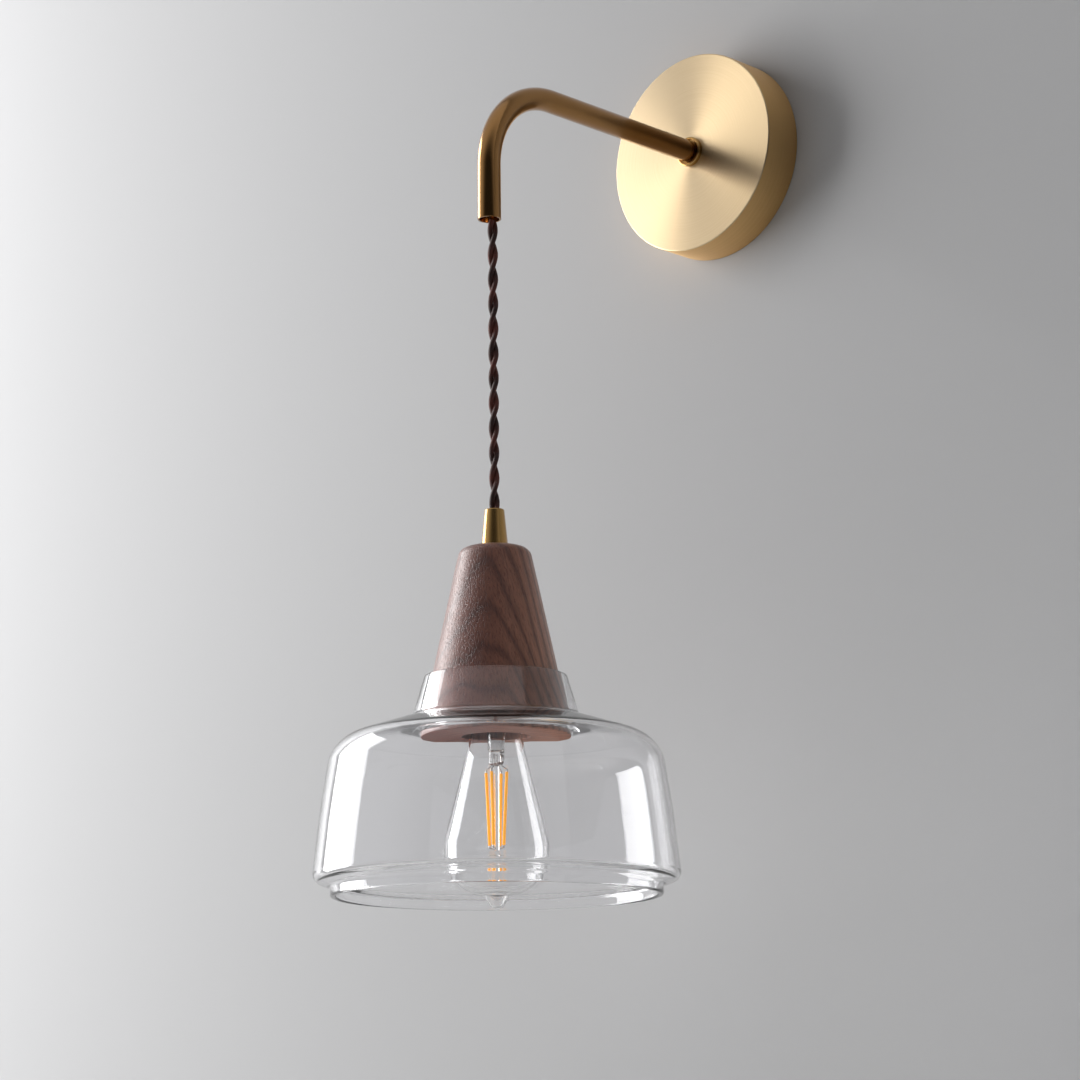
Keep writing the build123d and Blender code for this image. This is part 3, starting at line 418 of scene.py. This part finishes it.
def phosphorWithPaintedGlow():
    # unlit filament: yellow phosphor in clear silicone, with a painted glow: it shines faintly
    # though the bulb is off
    finish = {"Base Color": hexColour("F7A504"), "Roughness": 0.45, "IOR": 1.45,
              "Specular IOR Level": 0.2, "Emission Color": hexColour("FFA800"),
              "Emission Strength": 0.6}
    material, tree, surface = newMaterial("yellow phosphor coat", finish)
    place = addNode(tree, "TexCoord", {})
    grain = addNode(tree, "TexNoise", {"Scale": 1 / (0.8 * mm), "Detail": 2.0},
                    {"Vector": place.outputs["Object"]})
    tone = addNode(tree, "ValToRGB", {"stops": [(0.3, "F59F04"), (0.7, "FFB716")]},
                   {"Fac": grain.outputs[0]})
    tree.links.new(tone.outputs[0], surface.inputs["Base Color"])
    return material


tubeBrass = satinBrass("satin brass tube", brassColour["tube"], 0.18, 0.6, (1, 0.08, 0.08))
edgeBrass = satinBrass("satin brass turning", brassColour["edge"], 0.21, 0.5, (0.1, 0.1, 1))
finishes = {
    "satin_brass": edgeBrass,
    "raw_brass": metal("plain brass", "D8B566", 0.3, 0.8, 0.2),
    "zinc_steel": metal("zinc-plated steel", "C3C6C9", 0.38, 0.6, 0.3),
    "nickel_plate": metal("nickel-plated brass", "D2D0CC", 0.22, 1.5, 0.15),
    "walnut": turnedWalnut("oiled walnut", 0.4, 0.8),
    "clear_glass": clearGlass("clear blown glass", "FEFEFF", 1.48, 45, 0.05),
    "bulb_glass": clearGlass("thin bulb glass", "FFFFFF", 1.47, 30, 0.015),
    "black_glass": moulded("black glass insulator", "101012", 0.18, 2),
    "phosphor": phosphorWithPaintedGlow(),
    "circuit_board": moulded("white board", "DAD9D0", 0.5, 0.5),
    "brown_textile": braidedTextile(),
    "core_insulation": moulded("core insulation", "6A4436", 0.45, 1.5),
    "earth_insulation": moulded("earth lead insulation", "6FA048", 0.45, 1.5),
    "dark_nylon": moulded("dark nylon", "262423", 0.5, 0.7),
    "white_nylon": moulded("white nylon", "E6E5DF", 0.45, 0.7),
    "dark_moulding": moulded("dark moulding", "242120", 0.48, 0.7),
    "porcelain": moulded("glazed porcelain", "ECEAE3", 0.2, 3),
}
for nodeName, node in frame["nodes"].items():
    node.data.materials.clear()
    node.data.materials.append(finishes[slotOf[nodeName]])
print("stage: materials made")


# cord: two braided cores laid round each other; the free stretch hangs straight
# a core laid round the other is 1.05 times as long as the cord's own line
flex = {"strand": 2.95, "pitch": 29.0, "stepsPerTurn": 26, "sides": 14, "turn": 62,
        "layLength": 1.05,
        "free": [(0, pendantY, mouthZ), (0, pendantY, -172.5), (0, pendantY, -261.2)],
        "inArm": [(0, -10, 0), (0, -42, 0), (0, -129, -1.5), (0, -174, -2.6),
                  (0, pendantY, -31), (0, pendantY, -72), (0, pendantY, -81)],
        "inWood": [(0, pendantY, -262.5), (0, pendantY, -279), (0, pendantY, -296.5)]}


def readRoute(name, route):
    # the points of a smooth line, read from a NURBS curve with no bevel
    line = bpy.data.curves.new(name, "CURVE")
    line.dimensions = "3D"
    line.resolution_u = 24
    spline = line.splines.new("NURBS")
    spline.points.add(len(route) - 1)
    for point, spot in zip(spline.points, route):
        point.co = (*(Vector(spot) * mm), 1)
    spline.order_u = 3
    spline.use_endpoint_u = True
    holder = bpy.data.objects.new(name, line)
    read = bpy.data.meshes.new_from_object(holder)
    points = [v.co.copy() for v in read.vertices]
    bpy.data.objects.remove(holder)
    bpy.data.meshes.remove(read)
    return points


def evenly(points, gap):
    # walks a line and gives (place, direction, length so far) every gap metres
    walked, spots = 0.0, []
    total = sum((b - a).length for a, b in zip(points, points[1:]))
    count = max(2, round(total / gap))
    wanted = [total * i / count for i in range(count + 1)]
    for a, b in zip(points, points[1:]):
        run = (b - a).length
        while wanted and wanted[0] <= walked + run + 1e-9:
            share = min(1.0, (wanted[0] - walked) / run)
            spots.append((a.lerp(b, share), (b - a).normalized(), wanted.pop(0)))
        walked += run
    return spots


def twistedPair(name, route, body, *stands):
    points = readRoute(name + "Line", route)
    bm = bmesh.new()
    for half in (0, pi):
        helix = bpy.data.curves.new(name, "CURVE")
        helix.dimensions = "3D"
        helix.bevel_depth = flex["strand"] / 2 * mm
        helix.bevel_resolution = flex["sides"] // 2 - 2
        helix.use_fill_caps = True
        spots = evenly(points, flex["pitch"] / flex["stepsPerTurn"] * mm)
        spline = helix.splines.new("POLY")
        spline.points.add(len(spots) - 1)
        for point, (spot, heading, length) in zip(spline.points, spots):
            side = Vector((1, 0, 0))
            across = heading.cross(side).normalized()
            angle = half + radians(flex["turn"]) + 2 * pi * length / (flex["pitch"] * mm)
            offset = side * cos(angle) + across * sin(angle)
            point.co = (*(spot + offset * flex["strand"] / 2 * mm), 1)
        holder = bpy.data.objects.new(name, helix)
        strand = bpy.data.meshes.new_from_object(holder)
        bm.from_mesh(strand)
        bpy.data.objects.remove(holder)
        bpy.data.meshes.remove(strand)
    # the curve's own map runs 0 to 1; here it is in metres round and along a core
    rough = bm.loops.layers.uv["UVMap"]
    strandMap = bm.loops.layers.uv.new("strand")
    total = spots[-1][2]
    for face in bm.faces:
        for loop in face.loops:
            u, v = loop[rough].uv
            loop[strandMap].uv = (u * pi * flex["strand"] * mm, v * total * flex["layLength"])
    bm.loops.layers.uv.remove(rough)
    bmesh.ops.recalc_face_normals(bm, faces=bm.faces)
    return newPiece(name, bm, finishes["brown_textile"], body, *stands), points


freeCord, cordPoints = twistedPair("hangingCord", flex["free"], "cord_free",
                                   "pendant_cord", "cord_top")
twistedPair("armCord", flex["inArm"], "wall_mount", "arm_cord")
twistedPair("holderCord", flex["inWood"], "pendant", "holder_cord")
print("stage: cords twisted")


# wall plate, collar and arm
plate = {"radius": 62.5, "depth": 27, "wall": 1.5, "edge": 0.9, "hole": 5.1}
collar = {"radius": 9.25, "back": 27, "front": 30, "edge": 0.8, "groove": 0.5, "slope": 0.6,
          "recess": 0.7}
arm = {"radius": 6.75, "wall": 1, "foot": -30, "reach": -205, "drop": -84.5, "bend": 52,
       "edge": 0.25}

platePiece = onWallAxis(turned([
    (plate["radius"], 0, 0.2),
    (plate["radius"], plate["depth"], plate["edge"]),
    (plate["hole"], plate["depth"], 0),
    (plate["hole"], plate["depth"] - plate["wall"], 0),
    (plate["radius"] - plate["wall"], plate["depth"] - plate["wall"], 0.6),
    (plate["radius"] - plate["wall"], 0, 0.2)], steps=192))
plateObject = newPiece("wallPlate", platePiece,
                       spunBrass("spun brass face, tone painted for its highlight", brassColour["face"], 0.42, 0.9),
                       "wall_mount", "wall_plate")
# the rim gets its own brighter brass, painted light standing in for light falling on it
plateObject.data.materials.append(spunBrass("spun brass rim, tone painted for light on it", brassColour["side"], 0.46, 0.35))
for side in plateObject.data.polygons:
    side.material_index = int(abs(side.normal.y) < 0.5)

neck = arm["radius"] + collar["groove"]
collarPiece = onWallAxis(turned([
    (plate["hole"], collar["back"], 0),
    (collar["radius"], collar["back"], 0.35),
    (collar["radius"], collar["front"], collar["edge"]),
    (neck + collar["slope"], collar["front"], 0.2),
    (neck, collar["front"] - collar["recess"], 0.2),
    (plate["hole"], collar["front"] - collar["recess"], 0)], steps=96))
newPiece("armCollar", collarPiece, edgeBrass, "wall_mount", "arm_collar")


def ofKind(geom, kind):
    return [g for g in geom if isinstance(g, kind)]


def drawOut(bm, rim, way):
    # draws a rim of edges out by way, in metres, and gives the new rim
    grown = bmesh.ops.extrude_edge_only(bm, edges=rim)["geom"]
    bmesh.ops.translate(bm, vec=way, verts=ofKind(grown, bmesh.types.BMVert))
    return ofKind(grown, bmesh.types.BMEdge)


armPiece = bmesh.new()
bmesh.ops.create_circle(armPiece, segments=72, radius=arm["radius"] * mm,
                        matrix=Matrix.Translation((0, arm["foot"] * mm, 0))
                        @ Matrix.Rotation(radians(90), 4, "X"))
bendStart = arm["reach"] + arm["bend"]
rim = drawOut(armPiece, armPiece.edges[:], (0, (bendStart - arm["foot"]) * mm, 0))
bent = bmesh.ops.spin(armPiece, geom=rim, cent=(0, bendStart * mm, -arm["bend"] * mm),
                      axis=(1, 0, 0), angle=radians(90), steps=40)["geom_last"]
rim = ofKind(bent, bmesh.types.BMEdge)
drawOut(armPiece, rim, (0, 0, (arm["drop"] + arm["bend"]) * mm))
bmesh.ops.remove_doubles(armPiece, verts=armPiece.verts, dist=tiny)
bmesh.ops.recalc_face_normals(armPiece, faces=armPiece.faces)
bmesh.ops.solidify(armPiece, geom=armPiece.faces[:], thickness=arm["wall"] * mm)
bmesh.ops.recalc_face_normals(armPiece, faces=armPiece.faces)
ends = [e for e in armPiece.edges if e.is_manifold and e.calc_face_angle() > radians(60)]
bmesh.ops.bevel(armPiece, geom=ends, offset=arm["edge"] * mm, offset_type="OFFSET", segments=3,
                profile=0.5, affect="EDGES", clamp_overlap=False, material=-1)
newPiece("armTube", armPiece, tubeBrass, "wall_mount", "arm_tube")
print("stage: plate and arm made")


# ferrule and wooden cone
ferrule = {"top": -253.5, "topRadius": 5.5, "foot": -275.5, "bottomRadius": 7.5,
           "footRadius": 7.9, "footHeight": 1.2, "bore": 3.25, "wide": 5.1, "neck": -261.5}
ferrulePiece = onPendantAxis(turned([
    (ferrule["bore"], ferrule["top"], 0.3),
    (ferrule["topRadius"], ferrule["top"], 0.8),
    (ferrule["bottomRadius"], ferrule["foot"] + ferrule["footHeight"], 0.3),
    (ferrule["footRadius"], ferrule["foot"] + ferrule["footHeight"], 0.4),
    (ferrule["footRadius"], ferrule["foot"], 0.1),
    (ferrule["wide"], ferrule["foot"], 0),
    (ferrule["wide"], ferrule["neck"], 0),
    (ferrule["bore"], ferrule["neck"], 0)], steps=72))
newPiece("ferruleCap", ferrulePiece, edgeBrass, "pendant", "ferrule")

cone = {"top": -275.5, "base": -379.5, "topRadius": 19.6, "baseRadius": 42, "shoulder": 6,
        "baseEdge": 0.9, "bore": 19, "ceiling": -291.5, "rodHole": 5.1}
conePiece = onPendantAxis(turned([
    (cone["rodHole"], cone["top"], 0),
    (cone["topRadius"], cone["top"], cone["shoulder"]),
    (cone["baseRadius"], cone["base"], cone["baseEdge"]),
    (cone["bore"], cone["base"], 0.5),
    (cone["bore"], cone["ceiling"], 0.5),
    (cone["rodHole"], cone["ceiling"], 0)], steps=128))
coneObject = newPiece("woodCone", conePiece, finishes["walnut"], "pendant", "wood_cone")
# faces that look down, the underside and the bore's ceiling, are left unoiled and dull
coneObject.data.materials.append(turnedWalnut("bare walnut", 0.15, 0.0))
for side in coneObject.data.polygons:
    side.material_index = int(side.normal.z < -0.7)
print("stage: ferrule and cone turned")


# glass shade: (radius, height, corner radius) down the outside, and the seat on the cone
shade = {"wall": 3, "edge": 1.2,
         "outside": [(39.5, -348, 1.2), (46.2, -370.5, 3), (90.6, -384.3, 19.8),
                     (96.6, -422.3, 500), (100.8, -460.3, 5), (90.7, -463.9, 2),
                     (90.7, -469.3, 1.2)],
         "rim": (36.9, -348, 1.2), "seatTop": (39.4, -366, 40), "seatFoot": (41.8, -377, 2),
         "seatOuter": 51.3, "seatFlare": 12}
within = lining(shade["outside"], shade["wall"])
crease, shoulder = shade["outside"][1], shade["outside"][2]
fall = (crease[1] - shoulder[1]) / (shoulder[0] - crease[0])
flare = (shade["seatOuter"], within[1][1] - (shade["seatOuter"] - within[1][0]) * fall,
         shade["seatFlare"])
lip = (*within[-1][:2], shade["edge"])
inside = [lip, *within[-2:1:-1], flare, shade["seatFoot"], shade["seatTop"], shade["rim"]]
newPiece("glassShade", onPendantAxis(turned(shade["outside"] + inside, steps=180)),
         finishes["clear_glass"], "shade", "glass_shade")
print("stage: shade blown")


# bulb: envelope drawn out to a tip, and the glass stem inside it, pinched flat at its end
bulb = {"glass": 0.9,
        "outside": [(12.2, -351.5, 0), (12.2, -357.5, 0.3), (13.4, -358.4, 0.5),
                    (13.4, -379, 90), (30.5, -446.7, 28), (21, -466.5, 21),
                    (7.2, -468.6, 1.2), (2.9, -475.7, 2.3), (0, -475.7, 0)]}
within = lining(bulb["outside"], bulb["glass"])
within[-1] = (0, within[-1][1], 0)
outline = within[::-1] + bulb["outside"]
newPiece("bulbEnvelope", onPendantAxis(turned(outline, steps=128, ring=False)),
         finishes["bulb_glass"], "bulb", "bulb_envelope")

stem = {"radius": 5.5, "bore": 4.6, "root": -351.5, "rootRadius": 11.2, "rootBore": 10.3,
        "flare": -363.5, "press": -390.5, "end": -397.5, "rod": 1.35, "rodEnd": -444.5,
        "pinch": 0.5, "pinchTop": -384, "pinchRun": 8}
stemPiece = turned([
    (0, stem["press"], 0), (stem["bore"], stem["press"], 1.6), (stem["bore"], stem["flare"], 12),
    (stem["rootBore"], stem["root"], 0), (stem["rootRadius"], stem["root"], 0),
    (stem["radius"], stem["flare"], 12), (stem["radius"], stem["end"], 2),
    (stem["rod"], stem["end"], 0.8), (stem["rod"], stem["rodEnd"], 0.9),
    (0, stem["rodEnd"], 0)], steps=64, ring=False)
# the pinch grows over pinchRun, and the thin rod below the stem's end keeps its round
for vert in stemPiece.verts:
    low = min(1.0, max(0.0, (stem["pinchTop"] * mm - vert.co.z) / (stem["pinchRun"] * mm)))
    if vert.co.z > (stem["end"] - 0.1) * mm:
        vert.co.y *= 1 - (1 - stem["pinch"]) * low * low * (3 - 2 * low)
newPiece("bulbStem", onPendantAxis(stemPiece), finishes["bulb_glass"], "bulb", "bulb_stem")


# filaments with their metal ends, and the wires that hold them
filament = {"count": 4, "first": 20, "topCircle": 6.25, "endCircle": 4.25, "top": -401.5,
            "end": -441.5, "radius": 0.85, "clip": 0.5, "clipLength": 1.4, "wire": 0.3,
            "overlap": 0.3, "hold": 0.9,  # shares of a clip's length: on the bar, to the wire
            "pressCircle": 2.4, "pressDrop": 1, "elbowCircle": 3.4, "elbowDrop": 0.7,
            "hubGap": 0.2, "hubLift": 0.9}


def bar(bm, start, end, thick, edge, sides=12):
    # a round bar between two places in mm, with its end edges softened
    start, end = Vector(start), Vector(end)
    lie = (end - start).to_track_quat("Z", "Y").to_matrix().to_4x4()
    made = bmesh.ops.create_cone(bm, cap_ends=True, segments=sides, radius1=thick * mm,
                                 radius2=thick * mm, depth=(end - start).length * mm,
                                 matrix=Matrix.Translation((start + end) / 2 * mm) @ lie)
    rims = {e for v in made["verts"] for e in v.link_edges if e.calc_face_angle() > radians(60)}
    bmesh.ops.bevel(bm, geom=list(rims), offset=edge * mm, offset_type="OFFSET", segments=3,
                    profile=0.5, affect="EDGES", material=-1)


filamentPiece, wirePiece = bmesh.new(), bmesh.new()
for number in range(filament["count"]):
    turn = radians(filament["first"] + 360 / filament["count"] * number)
    out = Vector((cos(turn), sin(turn), 0))
    axis = Vector((0, pendantY, 0))
    top = axis + out * filament["topCircle"] + Vector((0, 0, filament["top"]))
    end = axis + out * filament["endCircle"] + Vector((0, 0, filament["end"]))
    bar(filamentPiece, top, end, filament["radius"], 0.45)
    along = (top - end).normalized()
    lift = along * filament["clipLength"]
    bar(wirePiece, top - lift * filament["overlap"], top + lift, filament["clip"], 0.1)
    bar(wirePiece, end + lift * filament["overlap"], end - lift, filament["clip"], 0.1)
    pressZ = stem["press"] - filament["pressDrop"]
    elbowZ = stem["end"] - filament["elbowDrop"]
    hubZ = stem["rodEnd"] + filament["hubLift"]
    press = axis + out * filament["pressCircle"] + Vector((0, 0, pressZ))
    elbow = axis + out * filament["elbowCircle"] + Vector((0, 0, elbowZ))
    hub = axis + out * (stem["rod"] + filament["hubGap"]) + Vector((0, 0, hubZ))
    bar(wirePiece, press, elbow, filament["wire"], 0.05, 8)
    bar(wirePiece, elbow, top + lift * filament["hold"], filament["wire"], 0.05, 8)
    bar(wirePiece, end - lift * filament["hold"], hub, filament["wire"], 0.05, 8)
newPiece("filaments", filamentPiece, finishes["phosphor"], "bulb", "bulb_filaments")
newPiece("leadWires", wirePiece, finishes[slotOf["bulb_wires"]], "bulb", "bulb_wires")
print("stage: bulb blown")


# stage: wall, floor and light
studio = {"wall": "CDCDCE", "wallGap": 0.0004, "recess": 0.0605, "floor": "D8D8D5",
          "floorZ": -1.7, "half": 6.0,
          "key": {"place": (-1.63, -0.70, 0.0), "aim": (0, -0.2, -0.3), "wide": 1.07,
                  "high": 2.0, "power": 41.5},
          "air": 0.45, "pale": 0.62, "dim": 0.05, "dimSide": (0.60, -0.76, -0.25),
          "dimFrom": 0.2, "dimTo": 0.8}

wallColour, wallTree, wallSurface = newMaterial("painted wall", {
    "Base Color": hexColour(studio["wall"]), "Roughness": 0.9, "Specular IOR Level": 0.2})
behind = addNode(wallTree, "NewGeometry", {})
clear = addNode(wallTree, "BsdfTransparent", {})
eitherSide = addNode(wallTree, "MixShader", {}, {0: behind.outputs["Backfacing"],
                                                 1: wallSurface.outputs[0], 2: clear.outputs[0]})
swapSurface(wallTree, eitherSide)
floorColour = newMaterial("pale floor", {"Base Color": hexColour(studio["floor"]),
                                         "Roughness": 0.9})[0]


def newBackdrop(name, bm, material):
    backdrop = newObject(name, bm, material)


# the wall is open behind the plate, so that what the plate covers has light from behind
wallPiece = bmesh.new()
upright = Matrix.Translation((0, studio["wallGap"], 0)) @ Matrix.Rotation(radians(90), 4, "X")
for reach in (studio["recess"], studio["half"]):
    bmesh.ops.create_circle(wallPiece, segments=96, radius=reach, matrix=upright)
bmesh.ops.bridge_loops(wallPiece, edges=wallPiece.edges[:])
wallPiece.normal_update()
away = [face for face in wallPiece.faces if face.normal.y > 0]
bmesh.ops.reverse_faces(wallPiece, faces=away)
newBackdrop("wall", wallPiece, wallColour)

floorPiece = bmesh.new()
bmesh.ops.create_grid(floorPiece, x_segments=1, y_segments=1, size=studio["half"],
                      matrix=Matrix.Translation((0, -studio["half"], studio["floorZ"])))
newBackdrop("floor", floorPiece, floorColour)

# air: pale where it is seen, dim in front of the lamp, where the camera stands
world = bpy.data.worlds.new("studio air")
bpy.context.scene.world = world
world.use_nodes = True
sky = world.node_tree
sky.nodes.clear()
rays = addNode(sky, "LightPath", {})
through = addNode(sky, "Math", {"operation": "ADD", "use_clamp": True},
                  {0: rays.outputs["Is Camera Ray"], 1: rays.outputs["Is Transmission Ray"]})
# light that a matt surface gathers through the glass is no brighter than beside the glass
unspread = addNode(sky, "Math", {"operation": "LESS_THAN", 1: 0.5},
                   {0: rays.outputs["Diffuse Depth"]})
clearly = addNode(sky, "Math", {"operation": "MULTIPLY"},
                  {0: through.outputs[0], 1: unspread.outputs[0]})
mirrored = addNode(sky, "Math", {"operation": "MULTIPLY"},
                   {0: rays.outputs["Is Glossy Ray"], 1: unspread.outputs[0]})
seen = addNode(sky, "Math", {"operation": "ADD", "use_clamp": True},
               {0: clearly.outputs[0], 1: mirrored.outputs[0]})
level = addNode(sky, "MapRange", {"To Min": studio["air"], "To Max": studio["pale"]},
                {"Value": seen.outputs[0]})
heading = addNode(sky, "TexCoord", {})
front = addNode(sky, "VectorMath", {"operation": "DOT_PRODUCT", 1: studio["dimSide"]},
                {0: heading.outputs["Generated"]})
fade = addNode(sky, "MapRange", {"interpolation_type": "SMOOTHSTEP",
                                 "From Min": studio["dimFrom"], "From Max": studio["dimTo"],
                                 "To Min": 1.0, "To Max": studio["dim"]},
               {"Value": front.outputs["Value"]})
share = addNode(sky, "Math", {"operation": "MAXIMUM"},
                {0: fade.outputs[0], 1: clearly.outputs[0]})
strength = addNode(sky, "Math", {"operation": "MULTIPLY"},
                   {0: level.outputs[0], 1: share.outputs[0]})
air = addNode(sky, "Background", {"Color": hexColour("F6F6F8")},
              {"Strength": strength.outputs[0]})
addNode(sky, "OutputWorld", {}, {"Surface": air.outputs[0]})

key = studio["key"]
lamp = bpy.data.lights.new("softbox", "AREA")
lamp.shape = "RECTANGLE"
lamp.size = key["wide"]
lamp.size_y = key["high"]
lamp.energy = key["power"]
softbox = bpy.data.objects.new("softbox", lamp)
bpy.context.scene.collection.objects.link(softbox)
softbox.location = key["place"]
towards = Vector(key["aim"]) - Vector(key["place"])
softbox.rotation_euler = towards.to_track_quat("-Z", "Y").to_euler()
bpy.context.scene.view_settings.view_transform = "Standard"
print("stage: light set")
